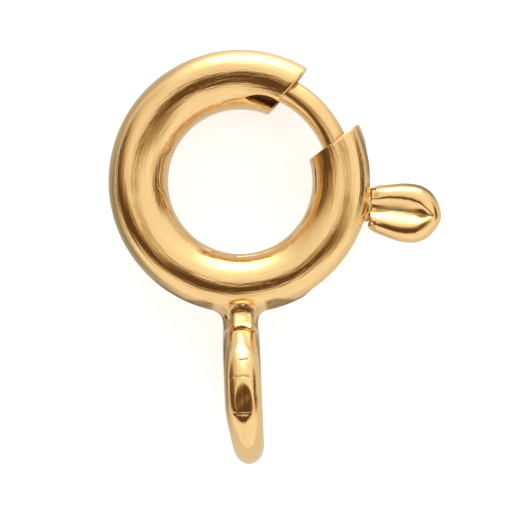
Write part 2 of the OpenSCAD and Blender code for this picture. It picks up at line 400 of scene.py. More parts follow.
def flat_pattern(back, depth, step_c, step_s, rows):
    """Points, c by s, and triangles of the unrolled sheet, up to a way back from its edges."""
    upper, lower, slot = (np.stack(rim(back, depth)[:2], 1) for rim in (upper_rim, lower_rim, slot_rim))
    columns = np.arange(back, tube_len - back, step_c)[1:]
    edge = np.stack([columns, np.full_like(columns, girth / 2)], 1)
    outline = np.concatenate([upper, edge, lower[::-1], (edge * [1, -1])[::-1]])
    rims = np.concatenate([outline, slot])

    def in_sheet(p):
        return inside_loop(p[:, 0], p[:, 1], outline) & ~inside_loop(p[:, 0], p[:, 1], slot)

    grid_c, grid_s = np.meshgrid(columns, rows, indexing="ij")
    pull = np.clip(follow - np.abs(grid_s - seam_s) / follow_over, 0, 1)
    grid_s = grid_s + pull * (seam_line(grid_c) - seam_s)
    grid = np.stack([grid_c.ravel(), grid_s.ravel()], 1)
    scale = np.array([1 / step_c, 1 / step_s])
    tree = KDTree(len(rims))
    for i, p in enumerate(rims * scale):
        tree.insert((p[0], p[1], 0), i)
    tree.balance()
    clear = np.array([tree.find((p[0], p[1], 0))[2] > clearance for p in grid * scale])
    grid = grid[clear & in_sheet(grid)]
    n, m = len(outline), len(slot)
    edges = [(i, (i + 1) % n) for i in range(n)] + [(n + i, n + (i + 1) % m) for i in range(m)]
    points = [Vector(p) for p in np.concatenate([rims, grid]) * scale]
    verts, _, faces, _, _, _ = delaunay_2d_cdt(points, edges, [], 0, 1e-5)
    flat = np.array([v[:] for v in verts]) / scale
    faces = np.array([f for f in faces if len(f) == 3])
    return flat, faces[in_sheet(flat[faces].mean(1))]


# %% The outside and the inside, still flat
rim_soft, bore_soft = 0.035, 0.02  # how far the edges are rounded, outside and inside
seam_offsets = np.array([-0.06, -0.045, -0.03, -0.02, -0.01, 0, 0.01, 0.02, 0.03, 0.045, 0.06])
outer_rows = across[1:-1]
outer_rows = np.append(outer_rows[np.abs(outer_rows - seam_s) > 0.08], seam_s + seam_offsets)
inner_rows = np.linspace(-girth / 2, girth / 2, 60)[1:-1]
outer_flat, outer_faces = flat_pattern(rim_soft, 0, 0.075, 0.036, np.sort(outer_rows))
inner_flat, inner_faces = flat_pattern(bore_soft, tube_wall, 0.15, 0.08, inner_rows)
print("outside", len(outer_faces), "triangles, inside", len(inner_faces))

# %% [markdown]
# The groove of the seam is a small press into the outside. The two edges of the sheet never lie quite
# level, so one side stands a few thousandths of a millimetre lower. The groove gapes a little where
# the seam has its kink.

# %% The groove of the seam
groove_off = [0, 0.01, 0.02, 0.03, 0.045]  # distances from the seam
groove_press = [0.05, 0.042, 0.016, 0.004, 0]  # how deep the groove is there
gape, gape_from, gape_to, gape_over = 0.7, 3.75, 5.2, 0.3
level_step, level_over = 0.003, 0.35


def seam_press(c, s):
    """How deep the outside is pressed in at a point of the pattern."""
    off = s - seam_line(c)
    gaping = gape * smooth_step((c - gape_from) / gape_over) * smooth_step((gape_to - c) / gape_over)
    strength = 0.28 + 0.2 * np.sin(2.1 * c + 0.9) + 0.2 * np.sin(5.3 * c) + gaping
    press = np.interp(np.abs(off), groove_off, groove_press) * strength
    press = press + level_step * smooth_step(off / 0.02 + 0.5) * smooth_step(1 - off / level_over)
    return press * smooth_step((c - mouth_tip_c) / 0.12 + 0.3) * smooth_step((tube_len - c) / 0.05)


# %% [markdown]
# A brown band of painted shade darkens the outer rim on both sides of the solder. It is widest
# beside the solder and thins out.

# %% The painted shade along the rim
rim_shade_r, rim_shade_soft = 2.98, 0.06  # its inner edge where it is thinnest
rim_shade_left, rim_shade_right = 0.18, 0.24  # how much wider it is beside the solder
rim_shade_from, rim_shade_to = 0.56, 1.42  # distances to the left and to the right of the end loop


def painted_rim_shade(p):
    """How strong the painted shade is, from 0 to 1."""
    x, r = np.abs(p[:, 0]), np.hypot(p[:, 0], p[:, 1])
    wider = np.where(p[:, 0] < 0, rim_shade_left, rim_shade_right) * np.clip((rim_shade_to - x) / 0.6, 0, 1)
    rim = smooth_step((r - rim_shade_r + wider) / rim_shade_soft)
    ends = smooth_step((x - rim_shade_from) / rim_shade_soft) * smooth_step((rim_shade_to - x) / 0.3)
    return 0.75 * rim * ends * (p[:, 1] < 0) * smooth_step(p[:, 2] / 0.2 + 1.5)


# %% [markdown]
# The outside, the inside and the rims become one closed shell. The first line of each rim has the
# points of the pattern's outline, and the last one those of the inside, so they join. Polish residue
# fills the groove. Painted shade darkens the whole inside of the tube, and the walls of the cuts and
# the slot towards the inside.

# %% The outside and the inside of the shell
shell_points, shell_faces, shell_grime_and_shade = [], [], []


def add_to_shell(points, faces, grime):
    start = sum(len(p) for p in shell_points)
    shell_points.append(points)
    shell_faces.extend((np.asarray(faces) + start).tolist())
    shell_grime_and_shade.append(grime)


outer_press = seam_press(outer_flat[:, 0], outer_flat[:, 1])
outside = on_tube(outer_flat[:, 0], outer_flat[:, 1], outer_press)
# the groove takes its polish residue, and the rim beside the solder its painted shade
add_to_shell(outside, outer_faces, np.clip(outer_press / 0.03, painted_rim_shade(outside), 1))
# the inside of the tube, with painted shade all over
bore = on_tube(inner_flat[:, 0], inner_flat[:, 1], tube_wall)
add_to_shell(bore, inner_faces[:, ::-1], np.full(len(bore), 0.5))

# %% The three rims, and the tube
quarter = np.linspace(0, math.pi / 2, 6)
over = [(rim_soft * (1 - math.sin(a)), rim_soft * (1 - math.cos(a))) for a in quarter]
quarter = np.linspace(0, math.pi / 2, 4)
under = [(bore_soft * (1 - math.cos(a)), tube_wall - bore_soft * (1 - math.sin(a))) for a in quarter]
# the inner lines of each rim take painted shade, so the walls of the cuts and the slot darken towards the
# inside
for rim, inward_shade in ((upper_rim, 0.6), (lower_rim, 0.6), (slot_rim, 0.4)):
    lines = []
    for k, (back, depth) in enumerate(over + under):
        c, s, deep = rim(back, depth)
        fade = max(1 - k / (len(over) - 1), 0)  # the seam's groove runs out over the edge
        lines.append(on_tube(c, s, deep + fade * seam_press(c, s)))
    count = len(lines[0])
    edge_shade = np.repeat([0] * len(over) + [inward_shade] * len(under), count)
    add_to_shell(np.concatenate(lines), bands(len(lines), count, closed=rim is slot_rim), edge_shade)
ring_tube = new_piece("ring_tube", np.concatenate(shell_points), shell_faces, np.concatenate(shell_grime_and_shade))

# %% [markdown]
# ## The end loop and its solder
#
# The end loop is a closed ring of domed wire, soldered on at a right angle. Molten solder creeps up on
# both parts and freezes in a soft hollow, with pits where flux has burnt out. Such a shape is easiest
# to state as a distance: how far is a point from each solid? Blending two distances gives the hollow,
# and noise added to a distance gives uneven places. The surface is where the distance is zero. A
# remesh of joined solids would also blend them, but it couldn't keep the loop's clean curves.

# %% Two helpers for distances
loop_in_r = 0.97
loop_band = 0.68  # from the eye to the outside
loop_w = 0.84
loop_drop = 4.8  # from the ring's centre to the loop's centre
loop_lean = math.radians(2.4)
foot_y = -3  # the loop leans about this place


def melt(a, b, width):
    """The nearer of two distances, blended where they are nearly the same."""
    near = np.maximum(width - np.abs(a - b), 0) / width
    return np.minimum(a, b) - near * near * width / 4


def leaned(p):
    """Points turned back upright about the foot of the end loop."""
    c, s = math.cos(loop_lean), math.sin(loop_lean)
    x, y = p[..., 0], p[..., 1] - foot_y
    return c * x + s * y, c * y - s * x + foot_y, p[..., 2]


print("the loop's wire is", loop_w, "by", loop_band, "mm")

# %% [markdown]
# The loop's wire is domed outside and has rounded corners towards the eye. Its lower end is squeezed
# narrower on the left, as pliers leave it. Above the eye the wire's end runs on straight for a little
# way, and makes a shoulder that stands proud of the round.

# %% The distance to the loop
corner_r = loop_band - loop_w / 2
squeeze, squeeze_from, squeeze_over = 0.07, -5.0, 1.3
shoulder_turn = 0.74  # where the wire leaves the round, in radians from the front
shoulder_x, shoulder_half = 0.04, 0.3
shoulder_end, shoulder_bulge = -3.33, 0.5


def from_round(p):
    x, y, z = leaned(p)
    pressed = squeeze * smooth_step((squeeze_from - y) / squeeze_over)
    x, half = x - pressed, loop_w / 2 - pressed
    u = np.hypot(y + loop_drop, z) - loop_in_r - corner_r
    outer = np.hypot(u, x * (loop_w / 2) / half) - loop_w / 2
    inner = np.hypot(u, np.maximum(np.abs(x) - half + corner_r, 0)) - corner_r
    return np.where(u > 0, outer, inner)


def from_shoulder(p):
    x, y, z = leaned(p)
    up, out = math.sin(shoulder_turn), math.cos(shoulder_turn)
    u = (y + loop_drop) * up + z * out - loop_in_r - corner_r
    wire = np.where((y + loop_drop) * out > z * up, np.hypot(u, x) - loop_w / 2, 1)
    wire = np.maximum(np.maximum(wire, np.abs(x - shoulder_x) - shoulder_half), -u - 0.1)
    cut = y - shoulder_end + shoulder_bulge * x * x
    return np.maximum(-melt(-wire, -cut, 0.06), -z)


# %% [markdown]
# Between the ring and the loop stand a short skirt of solder and the squared end of the loop's wire,
# the pin, which slopes down to the ring.

# %% The distances to the skirt, the pin and the ring
skirt_r, skirt_z, skirt_half = 0.4, -0.08, 0.12  # a column, a little deeper at the back than in front
pin_x, pin_half, pin_soft = 0.05, 0.235, 0.1
pin_top, pin_top_y, pin_slope = 0.64, -3.3, 0.42
joint_low, skirt_high, pin_high = -3.5, -2.5, -2.6  # both parts reach into the loop and into the ring


def from_skirt(p):
    x, y, z = leaned(p)
    column = np.hypot(x, np.maximum(np.abs(z - skirt_z) - skirt_half, 0)) - skirt_r
    return np.maximum(column, np.maximum(joint_low - y, y - skirt_high))


def from_pin(p):
    x, y, z = leaned(p)
    side = np.abs(x - pin_x) - pin_half
    front = (z - pin_top + pin_slope * (y - pin_top_y)) * 0.92
    block = -melt(-side, -front, pin_soft)
    return np.maximum(np.maximum(block, -z), np.maximum(joint_low - y, y - pin_high))


def from_ring(p):
    z = np.maximum(np.abs(p[..., 2]) - tube_land / 2, 0)
    angle = np.arctan2(p[..., 1], p[..., 0])
    r = np.hypot(p[..., 0], p[..., 1]) - crest_lean(angle) * (z / tube_r) ** 2
    return np.hypot(r - tube_mid_r, z) - tube_r


# %% [markdown]
# Smooth noise comes from a few crossed waves. It needs no random numbers, so it is the same every time.

# %% Noise from waves
waves = np.array([
    [7.1, 3.3, 5.9], [-5.2, 8.4, 2.1], [3.9, -4.6, 9.3],
    [-8.8, -6.1, 4.4], [12.3, 9.7, -11.1], [-14.2, 13.5, 8.6]])


def ripple(p, scale):
    return sum(np.sin(p @ w * scale + 1.7 * i) / (1 + i / 3) for i, w in enumerate(waves)) / 3


print("noise from", len(waves), "waves")

# %% [markdown]
# A used end loop carries marks. The link that hangs in it has worn a flat on its front, where the
# camera sees a dark window. A nick and two fine scars cross the front. Where the solder met the ring it
# froze in a small arched bead, and pits lie around the joint.

# %% The marks of solder and wear
solder_x = 0.05  # the bead, the scars and the joint lie a little to the right
pits = [  # x, y, z and radius
    (-0.31, -3.07, 0.27, 0.05), (-0.42, -3.1, 0.12, 0.05), (0.42, -3.12, 0.0, 0.05),
    (0.4, -3.05, -0.4, 0.06), (0.05, -2.87, -0.62, 0.06)]
nick_y, nick_half = -4.0, 0.09
scars = [(-4.36, 0.3), (-5.2, -0.4)]  # y, and how much the scar is bowed
scar_half, mark_soft = 0.16, 0.035
bead_y, bead_half, bead_bow = -2.86, 0.18, 1.6


def bowed_line(x, y, at, bow, half):
    """Distance to a short line across the loop."""
    return np.hypot(y - at + bow * x * x, np.maximum(np.abs(x) - half, 0))


def marks(p):
    """The nick and the scars on the loop's front, from 0 to 1, and the distance to the bead's line."""
    x, y, front = p[..., 0] - solder_x, p[..., 1], p[..., 2] > 0
    nick = bowed_line(x - 0.03, y - 0.15 * x, nick_y, 0.8, nick_half)
    scar = np.minimum(*[bowed_line(x, y, at, bow, scar_half) for at, bow in scars]) + 0.01 * ripple(p, 2.0)
    bead = bowed_line(x, y, bead_y, bead_bow, bead_half)
    return smooth_step(1 - nick / mark_soft) * front, smooth_step(1.2 - scar / mark_soft) * front, bead


def from_pit(p, pit):
    return np.linalg.norm(p - np.array(pit[:3]), axis=-1) - pit[3]


# %% The whole end as one distance
flat_z, flat_sidewards, flat_down = 1.6, 0.02, 0.08  # the worn flat's height and its two slopes
patch_half, patch_top, patch_depth = 0.72, -2.45, 0.09  # the solder's foot, hidden in the ring's wall


def from_solder(p, bead_line):
    x, y, z = p[..., 0] - solder_x, p[..., 1], p[..., 2]
    solder = melt(melt(from_skirt(p), from_ring(p) + 0.004, 0.26), from_pin(p), 0.07)
    solder = solder + 0.01 * ripple(p, 1.6) * smooth_step(1 - np.abs(y + 3.05) / 0.42)
    bead = np.hypot(bead_line, from_ring(p)) - 0.06 - 0.014 * ripple(p, 3.4)
    solder = melt(solder, np.where(z > 0, bead, 1), 0.03)
    for pit in pits:
        solder = -melt(-solder, from_pit(p, pit), 0.03)
    return solder


def from_end(p):
    x, y, z = p[..., 0] - solder_x, p[..., 1], p[..., 2]
    nick, scar, bead_line = marks(p)
    whole = melt(from_solder(p, bead_line), np.minimum(from_round(p), from_shoulder(p)), 0.06)
    front = z - flat_z - flat_sidewards * x - flat_down * (y + loop_drop) + 0.006 * ripple(p, 1.2)
    whole = -melt(-whole - 0.012 * nick, -front, 0.025) + 0.01 * scar
    patch = np.maximum(np.abs(x) - patch_half, y - patch_top)
    return np.maximum(whole, np.maximum(patch, -from_ring(p) - patch_depth))


def solder_film_and_shade(p):
    """How dark the rough places of the solder are, from 0 to 1, with painted shade in the bead's arch."""
    nick, scar, bead_line = marks(p)
    # the bead's arch: rough solder, and painted shade of the gap between the ring and the pin
    rough = 0.9 * smooth_step(1.5 - bead_line / 0.08 - 0.7 * ripple(p, 3.4)) * (p[..., 2] > 0.2)
    near_joint = smooth_step(1 - np.abs(p[..., 1] + 3.0) / 0.3)
    rough = rough + 0.35 * near_joint * np.clip(0.2 - ripple(p, 1.6), 0, 1)
    rough = rough + nick + 0.5 * scar
    for pit in pits:
        rough = rough + smooth_step(0.6 - from_pit(p, pit) / pit[3])
    return np.clip(rough, 0, 1)


# %% [markdown]
# A grid of small cells finds the surface. Each cell that the surface crosses gets one point, the mean of
# the crossings on its edges, which then slides along the distance's slope until it lies on the surface.
# Faces join the points round each crossed edge.

# %% The surface where a distance is zero
def surface_of(distance, low, high, step):
    axes = [np.arange(a, b + step, step) for a, b in zip(low, high)]
    grid = np.stack(np.meshgrid(*axes, indexing="ij"), -1)
    value = distance(grid)
    shape = value.shape
    total, hits, quads = np.zeros(shape + (3,)), np.zeros(shape), []
    for axis in range(3):
        a, b = [slice(None)] * 3, [slice(None)] * 3
        a[axis], b[axis] = slice(0, -1), slice(1, None)
        va, vb = value[tuple(a)], value[tuple(b)]
        crossed = np.argwhere((va < 0) != (vb < 0))
        crossed = crossed[((crossed > 0) & (crossed < np.array(shape) - 1)).all(1)]
        fa, fb = va[tuple(crossed.T)], vb[tuple(crossed.T)]
        where = grid[tuple(crossed.T)].copy()
        where[:, axis] += step * fa / (fa - fb)
        u, v = (axis + 1) % 3, (axis + 2) % 3
        cells = []
        for du, dv in ((0, 0), (-1, 0), (-1, -1), (0, -1)):
            cell = crossed.copy()
            cell[:, u] += du
            cell[:, v] += dv
            np.add.at(total, tuple(cell.T), where)
            np.add.at(hits, tuple(cell.T), 1)
            cells.append(np.ravel_multi_index(tuple(cell.T), shape))
        quad = np.stack(cells, 1)
        quads.append(np.where((fa < 0)[:, None], quad, quad[:, ::-1]))
    quads = np.concatenate(quads)
    used, faces = np.unique(quads, return_inverse=True)
    points = total.reshape(-1, 3)[used] / hits.reshape(-1)[used][:, None]
    small = step / 50
    for _ in range(4):
        rises = [distance(points + small * e) - distance(points - small * e) for e in np.eye(3)]
        slope = np.stack(rises, -1) / (2 * small)
        move = -distance(points)[:, None] * slope / np.maximum((slope**2).sum(-1, keepdims=True), 0.2)
        points = points + np.clip(move, -step / 3, step / 3)
    return points, faces.reshape(quads.shape)


# %% The end loop
end_low, end_high, cell_size = (-0.793, -6.6, -1.75), (0.807, -2.3, 1.75), 0.027
end_points, end_faces = surface_of(from_end, end_low, end_high, cell_size)
end_loop = new_piece("end_loop", end_points, end_faces.tolist(), solder_film_and_shade(end_points))

# %% [markdown]
# ## Wires by Geometry Nodes
#
# The tongue and the coil are wires that follow a rule: a place along them gives an angle, and the angle
# gives a point. Geometry Nodes state that rule as a tree with named inputs, and sweep a round profile
# along it. One small class lets the tree, and later the materials, be written as sums and products.
# The other one makes nodes, and knows the few groups of nodes that come up again and again.

# %% Node trees written as expressions
class Value:
    """The output of a node. An expression on it adds the Math nodes that work it out."""

    def __init__(self, net, socket):
        self.net, self.socket = net, socket

    def math(self, operation, *values):
        return self.net.node("ShaderNodeMath", {"operation": operation}, dict(enumerate(values)))

    def __add__(self, other):
        return self.math("ADD", self, other)

    def __radd__(self, other):
        return self.math("ADD", other, self)

    def __sub__(self, other):
        return self.math("SUBTRACT", self, other)

    def __rsub__(self, other):
        return self.math("SUBTRACT", other, self)

    def __mul__(self, other):
        return self.math("MULTIPLY", self, other)

    def __rmul__(self, other):
        return self.math("MULTIPLY", other, self)

    def __truediv__(self, other):
        return self.math("DIVIDE", self, other)

    def minimum(self, other):
        return self.math("MINIMUM", self, other)

    def maximum(self, other):
        return self.math("MAXIMUM", self, other)

    def arctan2(self, other):
        return self.math("ARCTAN2", self, other)

    def arccosine(self):
        return self.math("ARCCOSINE", self)

    def cos(self):
        return self.math("COSINE", self)

    def sin(self):
        return self.math("SINE", self)

    def sqrt(self):
        return self.math("SQRT", self)


class Net:
    """A node tree. node() makes one node from its type, its settings and the values of its sockets."""

    def __init__(self, tree):
        self.tree = tree

    def node(self, kind, settings=None, values=None, out=0):
        made = self.tree.nodes.new(kind)
        for name, setting in (settings or {}).items():
            if name == "stops":
                ramp = made.color_ramp
                while len(ramp.elements) < len(setting):
                    ramp.elements.new(0.5)
                for element, (place, colour) in zip(ramp.elements, setting):
                    element.position, element.color = place, colour
            else:
                setattr(made, name, setting)
        for name, value in (values or {}).items():
            socket = made.inputs[name]
            if isinstance(value, Value):
                self.tree.links.new(value.socket, socket)
            else:
                socket.default_value = value
        return Value(self, made.outputs[out] if len(made.outputs) else None)

    def split(self, vector):
        parts = self.node("ShaderNodeSeparateXYZ", None, {0: vector})
        return [Value(self, output) for output in parts.socket.node.outputs]

    def join(self, x, y, z=0.0):
        return self.node("ShaderNodeCombineXYZ", None, {0: x, 1: y, 2: z})

    def mix(self, factor, first, second):
        """A colour between two colours."""
        return self.node("ShaderNodeMix", {"data_type": "RGBA"}, {0: factor, 6: first, 7: second}, out=2)

    def noise(self, vector, scale, detail, rough=0.5):
        values = {"Vector": vector, "Scale": scale, "Detail": detail, "Roughness": rough}
        return self.node("ShaderNodeTexNoise", None, values)

    def placed(self, vector, place, turn, size):
        """The vector as seen from a place, turned and in the size given."""
        values = {"Vector": vector, "Location": place, "Rotation": turn, "Scale": size}
        return self.node("ShaderNodeMapping", {"vector_type": "TEXTURE"}, values)

    def surface(self, values):
        """The material's surface, with these values for its sockets."""
        coat = self.node("ShaderNodeBsdfPrincipled", None, values)
        self.node("ShaderNodeOutputMaterial", None, {"Surface": coat})

    def soft_spot(self, vector, place, turn, size, core):
        """1 within the core of an oval, and softly down to 0 at its rim."""
        spot = self.placed(vector, place, turn, size)
        reach = self.node("ShaderNodeVectorMath", {"operation": "LENGTH"}, {0: spot}, out=1)
        soft = {"interpolation_type": "SMOOTHSTEP"}
        return self.node("ShaderNodeMapRange", soft, {0: reach, 1: 1.0, 2: core})


# %% [markdown]
# The tree bends a straight line of points into an arc, gives each point a distance from the arc's middle
# line that winds round it, and thins the wire towards its tip. With no winding it makes the tongue, and
# with many turns it makes the coil.

# %% The tree for a wire along an arc
WIRE_SIZES = [
    "Arc Radius", "From Angle", "To Angle", "Wire Radius", "Winding Radius", "Turns", "Tip Rounding"]


def wire_tree(name, count, sides):
    tree = bpy.data.node_groups.new(name, "GeometryNodeTree")
    tree.interface.new_socket(name="Geometry", in_out="OUTPUT", socket_type="NodeSocketGeometry")
    for size in WIRE_SIZES:
        tree.interface.new_socket(name=size, in_out="INPUT", socket_type="NodeSocketFloat")
    net = Net(tree)
    given = [Value(net, socket) for socket in tree.nodes.new("NodeGroupInput").outputs]
    arc, start, end, wire, winding, turns, rounding = given[:7]
    place = net.node("GeometryNodeInputIndex") / (count - 1.0)
    angle = start + (end - start) * place
    phase = turns * place * (2 * math.pi)
    r = arc + winding * phase.cos()
    spot = net.join(r * angle.cos(), r * angle.sin(), winding * phase.sin())
    left = (end - start) * (1.0 - place) * arc
    short = (rounding - left).maximum(0.0)
    thick = wire - (rounding - (rounding * rounding - short * short).sqrt())
    line = net.node("GeometryNodeMeshLine", None, {"Count": count})
    bent = net.node("GeometryNodeSetPosition", None, {"Geometry": line, "Position": spot})
    curve = net.node("GeometryNodeMeshToCurve", None, {"Mesh": bent})
    curve = net.node("GeometryNodeSetCurveRadius", None, {"Curve": curve, "Radius": thick})
    profile = net.node("GeometryNodeCurvePrimitiveCircle", None, {"Resolution": sides, "Radius": 1.0})
    sweep = {"Curve": curve, "Profile Curve": profile, "Fill Caps": True}
    swept = net.node("GeometryNodeCurveToMesh", None, sweep)
    scale = swept.socket.node.inputs.get("Scale")
    if scale:  # newer versions take the thickness here, and not from the curve's radius
        tree.links.new(thick.socket, scale)
    smooth = net.node("GeometryNodeSetShadeSmooth", None, {"Geometry": swept})
    tree.links.new(smooth.socket, tree.nodes.new("NodeGroupOutput").inputs[0])
    return tree


def wire_piece(name, tree, material, **sizes):
    """Sets the tree's inputs, turns its result into a plain mesh and puts that into the frame."""
    maker = shown(name, bpy.data.meshes.new(name))
    modifier = maker.modifiers.new("wire", "NODES")
    modifier.node_group = tree
    for item in tree.interface.items_tree:
        if item.in_out == "INPUT":
            modifier[item.identifier] = float(sizes[item.name.replace(" ", "_").lower()])
    made = bpy.data.meshes.new_from_object(maker.evaluated_get(bpy.context.evaluated_depsgraph_get()))
    maker.modifiers.remove(modifier)
    made.transform(ring_matrix.to_4x4())
    made.transform(Matrix.Translation(ring_centre))
    made.attributes.new("grime", "FLOAT", "POINT")
    made.materials.append(material)
    maker.data = made
    print(f"{name}: {len(made.polygons)} faces")
    return maker


# %% [markdown]
# ## Gold
#
# Polished gold has no colour of its own but the tint that it gives to what it mirrors. What makes it
# real is how its mirror fails: long soft waves left by the buffing wheel, hair scratches, tiny dents,
# and a brown film of polish and tarnish in the corners that the wheel never reached. The same brown
# is also painted shade: inside the tube, on the walls of the cuts and the slot, along the rim beside
# the solder and in the solder bead's arch. Each piece was polished along its own bend, so each has its
# own finish, with a middle that its streaks run round.

# %% The gold's nodes
gold_colour, deep_gold, film_and_shade_colour = (0.98, 0.69, 0.35, 1), (0.97, 0.66, 0.31, 1), (0.24, 0.14, 0.055, 1)


def new_finish(name):
    """An empty material, its tree and the coordinates of the object that it lies on."""
    material = bpy.data.materials.new(name)
    material.use_nodes = True
    material.node_tree.nodes.clear()
    net = Net(material.node_tree)
    return material, net, net.node("ShaderNodeTexCoord", out="Object")


def gold_finish(name, middle, turn, waves, streaks, dull):
    """Gold on a bent wire or tube that runs round a middle, with its polishing streaks along it."""
    material, net, coords = new_finish(name)
    space = net.placed(coords, tuple(in_frame([middle])[0]), (ring_matrix @ turn).to_euler(), (MM, MM, MM))
    x, y, z = net.split(space)
    run = net.join((x * x + y * y).sqrt() * 9.0, z * 9.0, y.arctan2(x) * 2.0)
    cloud = net.noise(space, 0.9, 1.0)
    hair = net.noise(run, 1.0, 4.0, 0.6)
    speck = net.noise(space, 9.0, 4.0, 0.6)
    # the brown film: polish and tarnish, and the painted shade that the pieces carry in the same number
    film_and_shade = net.node("ShaderNodeAttribute", {"attribute_name": "grime"}, out="Fac")
    stain_and_shade = (film_and_shade * (0.6 + 0.8 * speck)).minimum(1.0)
    tint = net.mix(stain_and_shade, net.mix(speck, gold_colour, deep_gold), film_and_shade_colour)
    rough = dull + 0.1 * hair * hair + 0.28 * stain_and_shade
    height = waves * cloud + streaks * hair + 0.03 * speck
    bump = net.node("ShaderNodeBump", None, {"Strength": 1.0, "Distance": 0.01 * MM, "Height": height})
    net.surface({
        "Base Color": tint, "Metallic": 1.0, "Roughness": rough, "Normal": bump})
    print(f"{name}: {len(net.tree.nodes)} nodes")
    return material


# %% The finish of each gold piece
to_gap = Matrix.Rotation(gap_at, 3, "Z")
from_gap = Matrix.Rotation(gap_at + math.pi, 3, "Z")
upright = Matrix(((0, 0, 1), (-1, 0, 0), (0, -1, 0)))
unturned = Matrix.Identity(3)
tube_gold = gold_finish("tube_gold", (0, 0, 0), from_gap, waves=2.5, streaks=1.2, dull=0.06)
wire_gold = gold_finish("wire_gold", (0, 0, 0), to_gap, waves=1.0, streaks=0.6, dull=0.15)
loop_gold = gold_finish("loop_gold", (0, -loop_drop, 0), upright, waves=2.0, streaks=0.7, dull=0.07)
bean_gold = gold_finish("bean_gold", (3.9, -0.75, 0), unturned, waves=1.5, streaks=0.2, dull=0.07)

# %% [markdown]
# ## The tongue and the spring
#
# The tongue is drawn wire, rounded at its tip, and reaches a little way into the far cut. The trigger
# is pegged into it near its tail, and the spring pushes on that tail.

# %% The tongue
wire_r, tip_soft = 0.3, 0.12
tip_reach, tail_reach = 0.2, 1.34  # past the upper cut, and past the trigger's stem
tip_angle = gap_at + math.asin(gap_w / 2 / tube_mid_r) + tip_reach / tube_mid_r
tail_angle = stem_at - tail_reach / tube_mid_r
tongue = wire_piece(
    "tongue_wire", wire_tree("tongue_rule", 420, 40), wire_gold, arc_radius=tube_mid_r * MM,
    from_angle=tail_angle, to_angle=tip_angle, wire_radius=wire_r * MM, winding_radius=0, turns=0,
    tip_rounding=tip_soft * MM)

# %% [markdown]
# The spring is steel wire, and shows only as a glint at the foot of the slot. Spring steel is harder
# and greyer than gold, with a fine grain.

# %% Steel and the coil
coil_turns, coil_wire_r, coil_winding_r = 22, 0.065, 0.285
coil_room = coil_wire_r + 0.02  # from the middle of its end wire to what it bears on
stop_end = math.radians(160) + 0.2 / tube_mid_r - 2 * math.pi


def steel_finish():
    material, net, coords = new_finish("spring_steel")
    grain = net.noise(coords, 9000.0, 3.0)
    tint = net.mix(grain, (0.50, 0.49, 0.47, 1), (0.66, 0.65, 0.62, 1))
    net.surface({
        "Base Color": tint, "Metallic": 1.0, "Roughness": 0.2 + 0.2 * grain})
    return material


coil = wire_piece(
    "coil_spring", wire_tree("coil_rule", coil_turns * 24, 8), steel_finish(), arc_radius=tube_mid_r * MM,
    from_angle=tail_angle - coil_room / tube_mid_r, to_angle=stop_end + coil_room / tube_mid_r,
    wire_radius=coil_wire_r * MM, winding_radius=coil_winding_r * MM, turns=coil_turns, tip_rounding=0)

# %% [markdown]
# ## The trigger
#
# The trigger is shaped like a coffee bean: two rounded lobes with one groove between them. Its outline
# and the crests of its lobes are drawn through a few points, its cross-section comes from a formula,
# and the formula is swept along the outline. The lobes have soft crests and the groove a soft bottom,
# because a sharp one would mirror as a thread-thin line and the real one mirrors as a band.

# %% The bean's outline and cross-section
bean_len, bean_t, groove = 1.6, 0.72, 0.18
outline = np.array([  # distance from the neck, and half the width there
    [0.0, 0.45], [0.08, 0.50], [0.18, 0.55], [0.38, 0.605], [0.63, 0.66], [0.86, 0.678], [1.0, 0.668],
    [1.13, 0.638], [1.29, 0.555], [1.41, 0.44], [1.52, 0.27], [1.58, 0.13], [bean_len, 0.0]])
crests = np.array([  # distance from the neck, and how far off the middle line the crest is
    [0.0, 0.22], [0.11, 0.26], [0.36, 0.31], [0.63, 0.34], [0.86, 0.33], [1.05, 0.28], [1.22, 0.175],
    [1.33, 0.1], [1.42, 0.05], [bean_len, 0.03]])
groove_width, crest_round, outer_round = 0.6, 0.005, 2.6


def through(points, count):
    """A smooth curve through points, with its last point on the bean's middle line."""
    p = np.concatenate([[2 * points[0] - points[1]], points, [points[-2] * [1, -1]]])
    t = np.linspace(0, len(points) - 1, count)
    k = np.minimum(t.astype(int), len(points) - 2)
    f = (t - k)[:, None]
    a, b, c, d = p[k], p[k + 1], p[k + 2], p[k + 3]
    return 0.5 * (2 * b + (c - a) * f + (2 * a - 5 * b + 4 * c - d) * f**2 + (3 * b - a - 3 * c + d) * f**3)


def relief(p):
    """Height of the bean as a share of half its thickness: 0 is the groove, 1 a crest, 2 the edge."""
    p = np.abs(p)
    q = np.maximum(1 - np.sqrt(p * p + crest_round), 0)
    valley = 1 - groove * 2 / bean_t * (1 + groove_width) * q * q / (q + groove_width)
    return np.where(p < 1, valley, np.sqrt(np.maximum(1 - (np.maximum(p, 1) - 1) ** outer_round, 0)))


print("the bean is", bean_len, "by", round(2 * outline[:, 1].max(), 2), "by", bean_t, "mm")

# %% The bean, section by section
tip_from, tip_over = 1.22, 0.386
stations = through(outline, 130)
to_edge = 1.1 + 0.9 * np.sin(np.linspace(0, math.pi / 2, 24)[1:])
places = [[0, 0.03, 0.07, 0.12], np.linspace(0.18, 0.8, 16), np.linspace(0.84, 1.1, 10), to_edge]
places = np.concatenate(places)
places = np.concatenate([-places[:0:-1], places])


